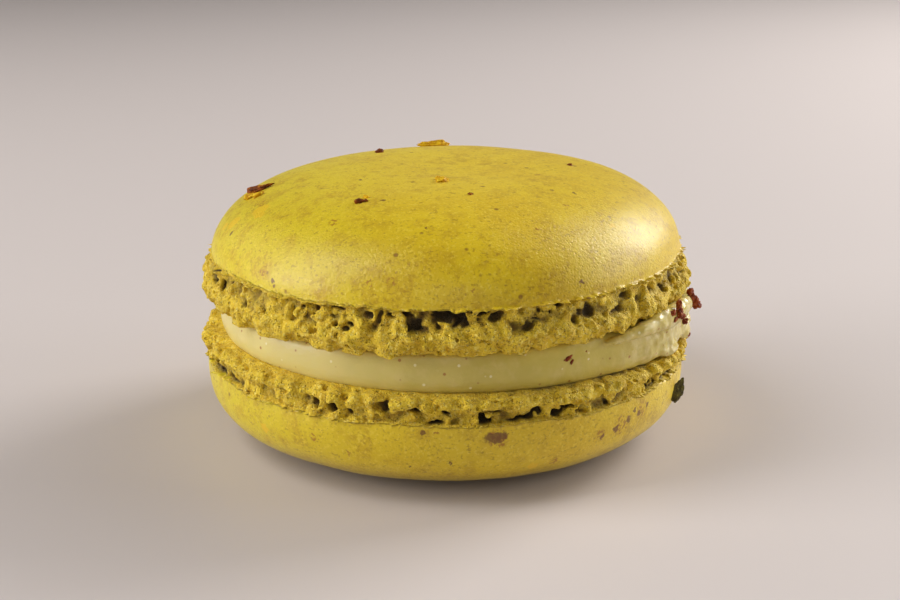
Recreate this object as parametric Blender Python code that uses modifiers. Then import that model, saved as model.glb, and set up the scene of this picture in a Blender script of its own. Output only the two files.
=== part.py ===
"""A pistachio French macaron at its real size.

Two domed almond shells, each with a ruffled foot round its rim, hold a disc of
ganache between their flat faces.  Metres, +Z up; the origin is the middle of
the small flat spot that the lower shell rests on.
"""
import math

import bmesh
import bpy
from mathutils import Vector, noise

MM = 0.001

# Driving dimensions.
SHELL_RADIUS = 22.8 * MM          # each dome, at the lip over its foot
UPPER_DOME_RADIUS = 22.2 * MM
FOOT_RADIUS = 23.4 * MM           # the foot's bulge stands proud of the lip
FOOT_SEAT_RADIUS = 21.5 * MM      # where the foot meets the filling
REST_RADIUS = 9.0 * MM            # flat spot under the lower dome
LOWER_LIP_HEIGHT = 7.8 * MM
LOWER_SEAT_HEIGHT = 10.2 * MM
UPPER_SEAT_HEIGHT = 13.6 * MM
UPPER_LIP_HEIGHT = 17.8 * MM
OVERALL_HEIGHT = 25.0 * MM
GAP = 0.3 * MM                    # between a shell and the filling

# The seats are not level: the filling is thicker on the +X side.
UPPER_SEAT_SLOPE = 0.013
LOWER_SEAT_SLOPE = -0.012

# Shape of the two domes: the exponents of a superellipse.
UPPER_DOME_FLATNESS = 3.7
UPPER_DOME_SHOULDER = 1.9
LOWER_DOME_FLATNESS = 4.9
LOWER_DOME_SHOULDER = 2.9

# Ruffled feet.
KNOB_SIZE = 3.0 * MM
KNOB_RELIEF = 0.45 * MM
HOLLOW_SIZE = 4.2 * MM
HOLLOW_DEPTH = 1.5 * MM
FOOT_ROWS = 7

# Filling: recessed all round, pressed out beyond the feet on the +X side.
FILLING_RADIUS = 20.7 * MM
FILLING_CROWN = 0.5 * MM
BULGE_REACH = 2.3 * MM
BULGE_DIRECTION = math.radians(-4.0)
BULGE_HALF_WIDTH = math.radians(46.0)

TURNS = 112                       # steps round each turned shape
DOME_ROWS = 9
FILLING_ROWS = 7


def smooth_step(value):
    """Ease from 0 to 1 as value goes from 0 to 1."""
    value = min(max(value, 0.0), 1.0)
    return value * value * (3.0 - 2.0 * value)


def clear_scene():
    """Take every object out of the open scene."""
    for thing in list(bpy.data.objects):
        bpy.data.objects.remove(thing, do_unlink=True)


def make_collection(name):
    """Add a collection under the scene."""
    collection = bpy.data.collections.new(name)
    bpy.context.scene.collection.children.link(collection)
    return collection


def make_material(name, colour, roughness):
    """A plain Principled material; colour is linear RGB."""
    material = bpy.data.materials.new(name)
    material.use_nodes = True
    shader = material.node_tree.nodes["Principled BSDF"]
    shader.inputs["Base Color"].default_value = (*colour, 1.0)
    shader.inputs["Roughness"].default_value = roughness
    shader.inputs["Metallic"].default_value = 0.0
    return material


def turned_mesh(name, profile):
    """Turn a profile of (radius, height) points round Z into a closed mesh."""
    outline = bpy.data.meshes.new(name + "_outline")
    points = [(radius, 0.0, height) for radius, height in profile]
    edges = [(index, index + 1) for index in range(len(points) - 1)]
    outline.from_pydata(points, edges, [])
    blank = bpy.data.objects.new(name + "_blank", outline)
    bpy.context.scene.collection.objects.link(blank)
    screw = blank.modifiers.new("turn", "SCREW")
    screw.axis = "Z"
    screw.angle = 2.0 * math.pi
    screw.steps = TURNS
    screw.render_steps = TURNS
    screw.use_merge_vertices = True
    screw.merge_threshold = 0.00001
    screw.use_smooth_shade = True
    bpy.context.view_layer.update()
    evaluated = blank.evaluated_get(bpy.context.evaluated_depsgraph_get())
    mesh = bpy.data.meshes.new_from_object(evaluated)
    mesh.name = name
    bpy.data.objects.remove(blank, do_unlink=True)
    bpy.data.meshes.remove(outline)
    return mesh


def superellipse(radius, height, flatness, shoulder, rows):
    """Points (radius, height) from just off the axis down to the rim of a dome."""
    points = []
    for row in range(1, rows + 1):
        angle = 0.5 * math.pi * row / rows
        across = math.sin(angle) ** (2.0 / flatness)
        up = max(math.cos(angle), 0.0) ** (2.0 / shoulder)
        points.append((radius * across, height * up))
    return points


def foot_outline(lip_radius, lip_height, seat_height):
    """The foot's side, from under the lip to the seat: a bulge that draws in to the filling."""
    points = []
    for row in range(1, FOOT_ROWS + 1):
        down = row / FOOT_ROWS
        height = lip_height + (seat_height - lip_height) * down
        bulge = (FOOT_RADIUS - lip_radius) * math.sqrt(math.sin(math.pi * min(down, 0.999)))
        draw_in = (lip_radius - FOOT_SEAT_RADIUS) * down ** 4
        points.append((lip_radius + bulge - draw_in, height))
    return points


def upper_profile():
    """Outline of the upper shell, top to bottom."""
    seat = UPPER_SEAT_HEIGHT + 0.5 * GAP
    dome_height = OVERALL_HEIGHT - UPPER_LIP_HEIGHT
    dome = superellipse(UPPER_DOME_RADIUS, dome_height, UPPER_DOME_FLATNESS,
                        UPPER_DOME_SHOULDER, DOME_ROWS)
    outline = [(0.0, OVERALL_HEIGHT)]
    outline += [(radius, UPPER_LIP_HEIGHT + height) for radius, height in dome]
    outline += foot_outline(UPPER_DOME_RADIUS, UPPER_LIP_HEIGHT, seat)
    outline += [(0.5 * FOOT_SEAT_RADIUS, seat), (0.0, seat)]
    return outline


def lower_profile():
    """Outline of the lower shell, top to bottom: seat, foot, dome and the flat it rests on."""
    seat = LOWER_SEAT_HEIGHT - 0.5 * GAP
    foot = foot_outline(SHELL_RADIUS, LOWER_LIP_HEIGHT, seat)
    dome = superellipse(SHELL_RADIUS, LOWER_LIP_HEIGHT, LOWER_DOME_FLATNESS,
                        LOWER_DOME_SHOULDER, DOME_ROWS)
    outline = [(0.0, seat), (0.5 * FOOT_SEAT_RADIUS, seat)]
    outline += list(reversed(foot))
    for radius, height in reversed(dome):
        if radius > REST_RADIUS * 1.2:
            outline.append((radius, LOWER_LIP_HEIGHT - height))
    outline += [(REST_RADIUS, 0.0), (0.0, 0.0)]
    return outline


def filling_profile():
    """Outline of the filling, top to bottom: flat faces and a softly rounded edge."""
    top = UPPER_SEAT_HEIGHT - 0.5 * GAP
    bottom = LOWER_SEAT_HEIGHT + 0.5 * GAP
    outline = [(0.0, top), (0.5 * FILLING_RADIUS, top)]
    for row in range(FILLING_ROWS + 1):
        angle = math.pi * row / FILLING_ROWS
        radius = FILLING_RADIUS + FILLING_CROWN * math.sin(angle)
        height = 0.5 * (top + bottom) + 0.5 * (top - bottom) * math.cos(angle)
        outline.append((radius, height))
    outline += [(0.5 * FILLING_RADIUS, bottom), (0.0, bottom)]
    return outline


def foot_relief(point, lip_height, seat_height, phase):
    """How far the foot's side moves outwards at a point: knobs, and hollows under the lip."""
    down = (point.z - lip_height) / (seat_height - lip_height)
    if down <= 0.02 or down > 1.01 or math.hypot(point.x, point.y) < 0.95 * FOOT_SEAT_RADIUS:
        return 0.0
    shift = Vector((phase, -phase, 2.0 * phase))
    knobs = 2.0 * noise.noise(point / KNOB_SIZE + shift)
    ring_point = Vector((point.x, point.y, 0.4 * point.z))
    hollows = smooth_step((noise.noise(ring_point / HOLLOW_SIZE - shift) - 0.05) / 0.35)
    near_lip = 1.0 - smooth_step((down - 0.35) / 0.35)
    return KNOB_RELIEF * knobs * smooth_step(down / 0.3) - HOLLOW_DEPTH * hollows * near_lip


def shape_shell(mesh, lip_height, seat_height, slope, phase):
    """Ruffle the foot, make the dome slightly uneven, and slope the face that takes the filling."""
    for vertex in mesh.vertices:
        point = vertex.co.copy()
        radius = math.hypot(point.x, point.y)
        relief = foot_relief(point, lip_height, seat_height, phase)
        if radius > FOOT_SEAT_RADIUS * 0.9:
            wave = 0.12 * MM * noise.noise(Vector((point.x, point.y, 0.0)) / (11.0 * MM))
            scale = (radius + relief + wave) / radius
            vertex.co.x = point.x * scale
            vertex.co.y = point.y * scale
        share = smooth_step((point.z - LOWER_LIP_HEIGHT) / (seat_height - LOWER_LIP_HEIGHT))
        vertex.co.z = point.z + slope * point.x * share
    mesh.update()


def shape_filling(mesh):
    """Press the filling out on one side, wave its edge, and slope its two faces."""
    middle = 0.5 * (UPPER_SEAT_HEIGHT + LOWER_SEAT_HEIGHT)
    half = 0.5 * (UPPER_SEAT_HEIGHT - LOWER_SEAT_HEIGHT)
    for vertex in mesh.vertices:
        point = vertex.co.copy()
        radius = math.hypot(point.x, point.y)
        if radius > 0.9 * FILLING_RADIUS:
            turn = math.atan2(point.y, point.x) - BULGE_DIRECTION
            side = 1.0 - smooth_step(abs(turn) / BULGE_HALF_WIDTH)
            belly = math.sqrt(max(1.0 - ((point.z - middle) / half) ** 2, 0.0))
            wave = 0.3 * MM * noise.noise(Vector((point.x, point.y, 0.0)) / (8.0 * MM))
            scale = (radius + BULGE_REACH * side * belly + wave) / radius
            vertex.co.x = point.x * scale
            vertex.co.y = point.y * scale
        slope = UPPER_SEAT_SLOPE if point.z > middle else LOWER_SEAT_SLOPE
        lift = abs(point.z - middle) / half
        vertex.co.z = point.z + slope * point.x * min(lift, 1.0)
    mesh.update()


def add_part(collection, mesh, material):
    """Put a finished mesh in the scene as its own named object."""
    solid = bmesh.new()
    solid.from_mesh(mesh)
    bmesh.ops.recalc_face_normals(solid, faces=solid.faces)
    solid.to_mesh(mesh)
    solid.free()
    mesh.shade_smooth()
    mesh.set_sharp_from_angle(angle=math.radians(40.0))
    mesh.materials.clear()
    mesh.materials.append(material)
    part = bpy.data.objects.new(mesh.name, mesh)
    collection.objects.link(part)
    return part


def main():
    clear_scene()
    collection = make_collection("french_macaron")
    baked = make_material("baked_pistachio_shell", (0.58, 0.42, 0.05), 0.6)
    ganache = make_material("pistachio_ganache", (0.47, 0.38, 0.15), 0.4)

    top_shell = turned_mesh("top_shell", upper_profile())
    shape_shell(top_shell, UPPER_LIP_HEIGHT, UPPER_SEAT_HEIGHT, UPPER_SEAT_SLOPE, 1.7)
    add_part(collection, top_shell, baked)

    bottom_shell = turned_mesh("bottom_shell", lower_profile())
    shape_shell(bottom_shell, LOWER_LIP_HEIGHT, LOWER_SEAT_HEIGHT, LOWER_SEAT_SLOPE, 5.3)
    add_part(collection, bottom_shell, baked)

    filling = turned_mesh("filling", filling_profile())
    shape_filling(filling)
    add_part(collection, filling, ganache)


main()
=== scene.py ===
import math

import bmesh
import bpy
import numpy as np
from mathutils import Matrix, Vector


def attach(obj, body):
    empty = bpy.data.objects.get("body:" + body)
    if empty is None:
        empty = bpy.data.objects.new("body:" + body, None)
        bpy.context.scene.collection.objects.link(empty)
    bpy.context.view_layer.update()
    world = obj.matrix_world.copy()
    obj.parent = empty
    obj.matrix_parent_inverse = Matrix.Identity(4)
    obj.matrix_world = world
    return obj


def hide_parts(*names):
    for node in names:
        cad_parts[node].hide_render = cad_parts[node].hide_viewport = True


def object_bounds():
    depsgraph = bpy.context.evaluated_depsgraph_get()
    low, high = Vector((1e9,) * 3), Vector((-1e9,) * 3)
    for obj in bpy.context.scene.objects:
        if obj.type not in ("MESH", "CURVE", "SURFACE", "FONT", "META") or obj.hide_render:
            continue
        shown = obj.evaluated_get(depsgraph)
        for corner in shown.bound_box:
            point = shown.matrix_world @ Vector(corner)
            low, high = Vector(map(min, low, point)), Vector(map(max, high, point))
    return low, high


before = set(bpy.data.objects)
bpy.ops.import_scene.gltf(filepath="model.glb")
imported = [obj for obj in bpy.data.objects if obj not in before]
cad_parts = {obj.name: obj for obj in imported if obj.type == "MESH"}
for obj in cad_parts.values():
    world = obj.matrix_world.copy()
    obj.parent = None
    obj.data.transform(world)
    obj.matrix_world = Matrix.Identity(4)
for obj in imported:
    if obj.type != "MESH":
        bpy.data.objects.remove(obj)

CAD_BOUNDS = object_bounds()

# All lengths below are in millimetres; angles in degrees run round +Z from +X,
# so -90 is the front of the macaron and 0 its right-hand side.
MM = 0.001
TAU = 2.0 * math.pi


BASE_HEIGHT, TOP_HEIGHT = CAD_BOUNDS[0][2] / MM, CAD_BOUNDS[1][2] / MM
UPPER_SEAT, UPPER_LIP = 13.6, 4.2
LOWER_SEAT, LOWER_LIP = 10.2, 2.5

# The two shells, each in a frame of its own whose heights run from the seat,
# the face that takes the filling, past the lip, where the foot ends, to the top
# of the dome, crown above the lip.  rim, foot and seat_radius are radii, and
# flatness and shoulder the powers of the dome's curve.  slope is how much the
# seat rises towards +X, sides how much wider the foot is at +X and -X, and
# torn_to how far down it is torn.
UPPER = dict(
    name="top_shell_crumb", node="top_shell", seat=UPPER_SEAT, up=1.0, slope=0.013,
    rim=22.2, lip=UPPER_LIP, crown=TOP_HEIGHT - UPPER_SEAT - UPPER_LIP, flatness=3.7, shoulder=1.9,
    foot=23.0, seat_radius=21.6, sides=0.10, torn_to=0.62, seed=11,
)
LOWER = dict(
    name="bottom_shell_crumb", node="bottom_shell", seat=LOWER_SEAT, up=-1.0, slope=-0.012,
    rim=22.8, lip=LOWER_LIP, crown=LOWER_SEAT - BASE_HEIGHT - LOWER_LIP, flatness=4.9, shoulder=2.9,
    foot=23.1, seat_radius=21.5, sides=0.25, torn_to=0.70, seed=23,
)

STEPS_ROUND = 1152       # grid steps round a foot: divides by 64, for the dome's halvings
CELL = 0.125             # the foot's grid spacing
FOOT_INNER = 20.7        # the foot's grid starts at this radius
FOOT_OUTER = 24.3        # and ends at this one
RIM_BAND = 0.9           # how far the foot's grid climbs the dome
DOME_ROW = 0.28          # spacing of the dome's rings
FEWEST_ROUND = 18        # the least number of points round one of them
MOST_TRIANGLES = 196000  # for each shell


# ---- noise

def lattice_hash(i, j, k, seed):
    """A well-mixed 32-bit number for every lattice point; the sums are meant to wrap."""
    n = (i.astype(np.uint32) * np.uint32(374761393)
         + j.astype(np.uint32) * np.uint32(668265263)
         + k.astype(np.uint32) * np.uint32(2246822519)
         + np.uint32((seed * 3266489917) % 2**32))
    n = (n ^ (n >> np.uint32(13))) * np.uint32(1274126177)
    n = (n ^ (n >> np.uint32(15))) * np.uint32(2654435761)
    return n ^ (n >> np.uint32(16))


def noise(x, y, z, size, seed):
    """Gradient noise, about -1 to 1, with features as large as size."""
    x, y, z = np.broadcast_arrays(np.atleast_1d(x / size), y / size, z / size)
    cell = [np.floor(axis) for axis in (x, y, z)]
    part = [axis - low for axis, low in zip((x, y, z), cell)]
    ease = [p * p * p * (p * (p * 6.0 - 15.0) + 10.0) for p in part]
    cell = [low.astype(np.int64) for low in cell]
    total = np.zeros(x.shape)
    for corner in range(8):
        step = (corner & 1, (corner >> 1) & 1, (corner >> 2) & 1)
        code = lattice_hash(cell[0] + step[0], cell[1] + step[1], cell[2] + step[2], seed)
        away = [p - s for p, s in zip(part, step)]
        weight = 1.0
        for e, s in zip(ease, step):
            weight = weight * (e if s else 1.0 - e)
        bits = [(code >> np.uint32(10 * axis)) & np.uint32(1023) for axis in range(3)]
        slope = sum((ten / 511.5 - 1.0) * a for ten, a in zip(bits, away))
        total += weight * slope
    return total * 1.5


def smooth_step(value):
    """Ease from 0 to 1 as value goes from 0 to 1."""
    value = np.clip(value, 0.0, 1.0)
    return value * value * (3.0 - 2.0 * value)


def soft_min(a, b, blend):
    """The smaller of two fields, rounded where they cross."""
    mix = np.maximum(blend - np.abs(a - b), 0.0) / blend
    return np.minimum(a, b) - mix * mix * blend * 0.25


def soft_max(a, b, blend):
    """The larger of two fields, rounded where they cross."""
    return -soft_min(-a, -b, blend)


# ---- ring-shaped fields

class RingField:
    """A signed distance, negative inside, on a grid of angle (t), radius (r) and height (h)."""

    def __init__(self, steps, inner, outer, low, high, cell):
        self.steps, self.cell, self.inner, self.low = steps, cell, inner, low
        self.angles = np.arange(steps) * TAU / steps
        self.radii = np.arange(inner, outer, cell)
        self.heights = np.arange(low, high, cell)
        self.t = self.angles[:, None, None]
        self.r = self.radii[None, :, None]
        self.h = self.heights[None, None, :]
        self.x = self.r * np.cos(self.t)
        self.y = self.r * np.sin(self.t)
        self.value = None        # the distance at each grid point
        self.ragged = None       # how far, round and up, carved edges wander at each grid point

    def column(self, angle):
        """The grid column nearest to an angle."""
        return int(round(angle * self.steps / TAU)) % self.steps

    def within(self, places, middle, reach):
        """The slice of evenly spaced places that lie within reach of a middle."""
        low = max(int((middle - reach - places[0]) / self.cell), 0)
        return slice(low, min(int((middle + reach - places[0]) / self.cell) + 2, len(places)))

    def blob(self, angle, radius, height, sizes, tilt, blend, carve, ceiling=None):
        """Add an ellipsoid, or carve it out with a ragged edge and only up to the ceiling.

        sizes are its half sizes round, outwards and upwards.
        """
        reach = max(sizes) + blend
        span = int(math.ceil(reach / (radius * TAU / self.steps)))
        middle = int(round(angle * self.steps / TAU))
        turns = np.arange(middle - span, middle + span + 1) % self.steps
        rows = self.within(self.radii, radius, reach)
        layers = self.within(self.heights, height, reach)
        if rows.stop <= rows.start or layers.stop <= layers.start:
            return
        here = (turns, rows, layers)
        off = (self.angles[turns] - angle + math.pi) % TAU - math.pi
        off = (off * radius)[:, None, None]
        out = (self.radii[rows] - radius)[None, :, None]
        up = (self.heights[layers] - height)[None, None, :]
        top = up + height
        if carve and self.ragged is not None:
            off = off + self.ragged[0][here]
            up = up + self.ragged[1][here]
        along = off * math.cos(tilt) + up * math.sin(tilt)
        across = up * math.cos(tilt) - off * math.sin(tilt)
        length = np.sqrt((along / sizes[0]) ** 2 + (out / sizes[1]) ** 2 + (across / sizes[2]) ** 2)
        distance = (length - 1.0) * min(sizes)
        if ceiling is not None:
            distance = np.maximum(distance, top - ceiling)
        if carve:
            self.value[here] = soft_max(self.value[here], -distance, blend)
        else:
            self.value[here] = soft_min(self.value[here], distance, blend)

    def surface(self):
        """Where the field is zero: vertices as (angle, radius, height), and the quads between them."""
        f = self.value
        inside = f < 0.0
        around = [np.roll(f, -(c & 1), axis=0) for c in (0, 1)]
        corners = []
        for corner in range(8):
            shifted = around[corner & 1]
            r_step, h_step = (corner >> 1) & 1, (corner >> 2) & 1
            corners.append(shifted[:, r_step:f.shape[1] - 1 + r_step, h_step:f.shape[2] - 1 + h_step])
        count = sum((c < 0.0).astype(np.int8) for c in corners)
        cells = np.nonzero((count > 0) & (count < 8))
        near = np.stack([c[cells] for c in corners], axis=1)
        total = np.zeros((len(near), 3))
        hits = np.zeros(len(near))
        for first in range(8):
            for axis in range(3):
                if (first >> axis) & 1:
                    continue
                second = first | (1 << axis)
                a, b = near[:, first], near[:, second]
                cross = (a < 0.0) != (b < 0.0)
                share = np.where(cross, a / np.where(a == b, 1.0, a - b), 0.0)
                for other in range(3):
                    place = share if other == axis else float((first >> other) & 1)
                    total[:, other] += np.where(cross, place, 0.0)
                hits += cross
        where = total / hits[:, None]
        index = np.full(count.shape, -1, dtype=np.int64)
        index[cells] = np.arange(len(near))
        places = np.stack([
            (cells[0] + where[:, 0]) * TAU / self.steps,
            self.inner + (cells[1] + where[:, 1]) * self.cell,
            self.low + (cells[2] + where[:, 2]) * self.cell,
        ], axis=1)
        back = np.roll(index, 1, axis=0)
        starts = (inside[:, 1:-1, 1:-1], inside[:, :-1, 1:-1], inside[:, 1:-1, :-1])
        ends = (np.roll(inside, -1, axis=0)[:, 1:-1, 1:-1], inside[:, 1:, 1:-1], inside[:, 1:-1, 1:])
        rings = (
            (index[:, :-1, :-1], index[:, 1:, :-1], index[:, 1:, 1:], index[:, :-1, 1:]),
            (back[:, :, :-1], back[:, :, 1:], index[:, :, 1:], index[:, :, :-1]),
            (back[:, :-1, :], index[:, :-1, :], index[:, 1:, :], back[:, 1:, :]),
        )
        quads = [facing(ring, start != end, start) for ring, start, end in zip(rings, starts, ends)]
        return places, np.concatenate(quads)


def facing(ring, crossing, starts_inside):
    """The quads round each crossed grid edge, turned so that they face outwards."""
    quads = np.stack([corner[crossing] for corner in ring], axis=1)
    turn = starts_inside[crossing]
    quads[turn] = quads[turn][:, ::-1]
    return quads[(quads >= 0).all(axis=1)]


def largest_piece(count, quads):
    """True for the vertices of the largest connected piece."""
    label = np.arange(count)
    a = quads.ravel()
    b = np.roll(quads, 1, axis=1).ravel()
    while True:
        lowest = np.minimum(label[a], label[b])
        before = label.copy()
        np.minimum.at(label, a, lowest)
        np.minimum.at(label, b, lowest)
        label = label[label]
        if (label == before).all():
            break
    names, sizes = np.unique(label, return_counts=True)
    return label == names[sizes.argmax()]


def open_edges(quads):
    """The mesh's open edges as loops of vertices, each in order of rising angle."""
    a = quads.ravel()
    b = np.roll(quads, -1, axis=1).ravel()
    count = int(a.max()) + 1
    lone = ~np.isin(a * count + b, b * count + a)
    after = dict(zip(a[lone].tolist(), b[lone].tolist()))
    loops = []
    while after:
        first, here = after.popitem()
        loop = [first]
        while here != first:
            loop.append(here)
            here = after.pop(here)
        loops.append(np.array(loop))
    return loops


def from_first_angle(loop, points):
    """The loop turned to rise in angle, starting nearest to angle 0."""
    x, y = points[loop][:, 0], points[loop][:, 1]
    if np.sum(x * np.roll(y, -1) - np.roll(x, -1) * y) < 0.0:
        loop = loop[::-1]
    angle = np.arctan2(points[loop][:, 1], points[loop][:, 0]) % TAU
    return np.roll(loop, -int(angle.argmin()))


def zipped(low, high, points):
    """Triangles between two loops of unlike count that both rise in angle."""
    angles = [np.unwrap(np.arctan2(points[loop][:, 1], points[loop][:, 0])) for loop in (low, high)]
    faces = []
    i = j = 0
    while i < len(low) or j < len(high):
        next_low = angles[0][i + 1] if i + 1 < len(low) else angles[0][0] + TAU
        next_high = angles[1][j + 1] if j + 1 < len(high) else angles[1][0] + TAU
        a, b = low[i % len(low)], high[j % len(high)]
        if j >= len(high) or (i < len(low) and next_low <= next_high):
            i += 1
            faces.append((a, low[i % len(low)], b))
        else:
            j += 1
            faces.append((a, high[j % len(high)], b))
    return np.array(faces)


def relaxed(points, quads, share):
    """Each point moved a share of the way to the mean of its neighbours."""
    total = np.zeros_like(points)
    count = np.zeros(len(points))
    for step in (1, 3):
        beside = np.roll(quads, step, axis=1)
        for column in range(4):
            np.add.at(total, quads[:, column], points[beside[:, column]])
            np.add.at(count, quads[:, column], 1.0)
    mean = total / np.maximum(count, 1.0)[:, None]
    return np.where(count[:, None] > 0, points + share * (mean - points), points)


# ---- one shell

# The larger hollows of the front, listed: angle, height from the seat, half
# width, half height, tilt.  The rest of each foot, between the two angles of
# CHANCE_HOLLOWS, gets its own by chance.
CHANCE_HOLLOWS = (math.radians(-35.0), math.radians(217.0))
UPPER_HOLLOWS = (
    (-133, 3.95, 0.60, 0.28, -8), (-123, 3.65, 0.75, 0.40, 0), (-119, 1.9, 0.35, 0.35, 0),
    (-114, 3.95, 0.85, 0.25, -5), (-111, 2.7, 0.80, 0.30, -10), (-106.5, 3.55, 0.85, 0.80, 10),
    (-102, 3.7, 0.80, 0.40, 0), (-97.5, 3.65, 0.60, 0.55, 0), (-92, 4.05, 0.85, 0.16, -3),
    (-88, 3.0, 0.90, 0.55, 15), (-84.5, 3.3, 0.35, 0.28, 0), (-79, 3.45, 1.15, 0.75, 10),
    (-72, 4.0, 0.35, 0.18, 0), (-67, 3.3, 0.60, 0.35, 35), (-70, 2.9, 0.8, 0.12, -10),
    (-57, 3.0, 0.95, 1.15, 15), (-51, 3.9, 0.45, 0.25, 10), (-46, 3.55, 1.00, 0.40, 25),
)
LOWER_HOLLOWS = (
    (-103.5, 0.85, 0.95, 0.70, 0), (-111, 1.7, 0.55, 0.28, 10), (-128, 0.9, 1.05, 0.28, 5),
    (-122, 0.9, 0.45, 0.35, 0), (-97, 1.1, 0.80, 0.35, 0), (-92, 0.85, 0.35, 0.14, 10),
    (-89.5, 1.1, 0.55, 0.30, 0), (-86, 2.1, 0.20, 0.32, 0), (-80, 1.2, 1.30, 0.28, 0),
    (-70, 1.5, 0.70, 0.45, 30), (-63, 1.45, 1.15, 0.42, 12), (-48, 1.2, 0.80, 0.42, 0),
)

LIP_RADIUS = 22.0        # where the noise of the lip is read
TUCK = 0.30              # how far the foot sits inside the rim, before it bellies out
# Lumps of a foot: smallest and largest half size, how many to the square
# millimetre, and the share of each that stands proud.
LUMPS = ((0.45, 1.05, 0.85, 0.46), (0.20, 0.42, 3.4, 0.60))
HOLLOW_EVERY = 2.6       # spacing of the hollows left to chance
PITS_PER_AREA = 1.6
# Ridges on the right of the upper foot: their middle, half width and ease in
# degrees, and the way they run.
RIDGES_AT, RIDGES_REACH, RIDGES_EASE = 330.0, 40.0, 12.0
RIDGES_LEAN = (0.62, 0.78)


def dome_radius(shell, above):
    """Radius of the dome at a height above the lip."""
    share = np.clip(above / shell["crown"], 0.0, 1.0)
    return shell["rim"] * (1.0 - share ** shell["shoulder"]) ** (1.0 / shell["flatness"])


def dome_wave(shell, x, y, h):
    """How far the dome's skin stands off its plain form."""
    seed = shell["seed"]
    return 0.14 * noise(x, y, h, 13.0, seed) + 0.05 * noise(x, y, h, 4.5, seed + 1)


def lip_height(shell, angle):
    """The uneven line at which the dome's skin ends."""
    x, y = np.cos(angle) * LIP_RADIUS, np.sin(angle) * LIP_RADIUS
    seed = shell["seed"] + 5
    fine = 0.16 * noise(x, y, 0.0, 1.2, seed) + 0.09 * noise(x, y, 0.0, 0.5, seed + 1)
    return shell["lip"] + 0.20 * noise(x, y, 0.0, 5.0, seed) + fine


def foot_radius(shell, angle, down):
    """The foot's side without its lumps; down runs from 0 at the lip to 1 at the seat."""
    down = np.clip(down, 0.0, 1.0)
    belly = (shell["foot"] - shell["rim"]) * np.sqrt(np.sin(math.pi * (0.05 + 0.9 * down)))
    sides = shell["sides"] * np.cos(angle) ** 2
    draw_in = (shell["foot"] - shell["seat_radius"]) * down ** 7
    return shell["rim"] - TUCK + belly + sides - draw_in


def add_lumps(field, shell, line, rng):
    """Lumps of dried foam all over the foot, the larger ones first."""
    for smallest, largest, per_area, proud in LUMPS:
        for _ in range(int(TAU * shell["foot"] * shell["lip"] * per_area)):
            angle = rng.uniform(0.0, TAU)
            share = rng.uniform(0.02, 1.0)
            size = rng.uniform(smallest, largest) * (0.75 if share > 0.8 else 1.0)
            height = line[field.column(angle)] * (1.0 - share)
            radius = float(foot_radius(shell, angle, share)) - size * (1.0 - proud)
            sizes = (size, size, size * rng.uniform(0.9, 1.5))
            field.blob(angle, radius, height, sizes, rng.uniform(-0.5, 0.5), 0.16, False)


def roughen(field, shell, down):
    """Fine unevenness, and the band under the lip where the foam is torn; down is as in foot_radius."""
    x, y, h, seed = field.x, field.y, field.h, shell["seed"]
    small = noise(x, y, h, 0.40, seed + 3)
    middling = noise(x, y, h, 0.85, seed + 2)
    field.value += 0.27 * middling + 0.12 * small + 0.18 * noise(x, y, h * 0.5, 2.0, seed + 4)
    field.ragged = (0.42 * noise(x, y, h, 0.9, seed + 6) + 0.10 * small,
                    0.30 * noise(x, y, h, 0.8, seed + 7) - 0.10 * small)
    torn = noise(x, y, h * 1.4, 2.1, seed + 8) + 0.50 * middling + 0.22 * small
    band = smooth_step(down / 0.05) * smooth_step((shell["torn_to"] - down) / 0.30)
    field.value += (0.45 + 1.15 * smooth_step((torn - 0.20) / 0.45)) * band
    if shell["up"] > 0.0:
        field.value += ridges(field, seed + 9)
    field.value += 0.07 * noise(x, y, h, 0.27, seed + 10)


def ridges(field, seed):
    """Slanting ridges where the foam was stretched, on the right."""
    round_on = field.t * field.r
    a, b = RIDGES_LEAN
    ridge = noise(round_on * a + field.h * b, (round_on * b - field.h * a) * 0.16, 0.0, 0.55, seed)
    beside = np.abs(field.t - math.radians(RIDGES_AT))
    here = smooth_step((math.radians(RIDGES_REACH) - beside) / math.radians(RIDGES_EASE))
    return 0.24 * np.abs(ridge) * here


def add_skin(field, shell, lip):
    """Cut the foot off at the lip, and bring the dome's skin down to it."""
    above_lip = field.h - lip
    skin = field.r - dome_radius(shell, np.maximum(field.h - shell["lip"], 0.0))
    skin = skin - dome_wave(shell, field.x, field.y, field.h)
    drop = np.maximum(-above_lip - 0.12, 0.0)
    skin = soft_max(skin, drop * 1.5 - 0.05, 0.1)
    cut = np.maximum(field.value, above_lip - 0.05)
    field.value = soft_min(cut, skin, 0.08)


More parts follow.
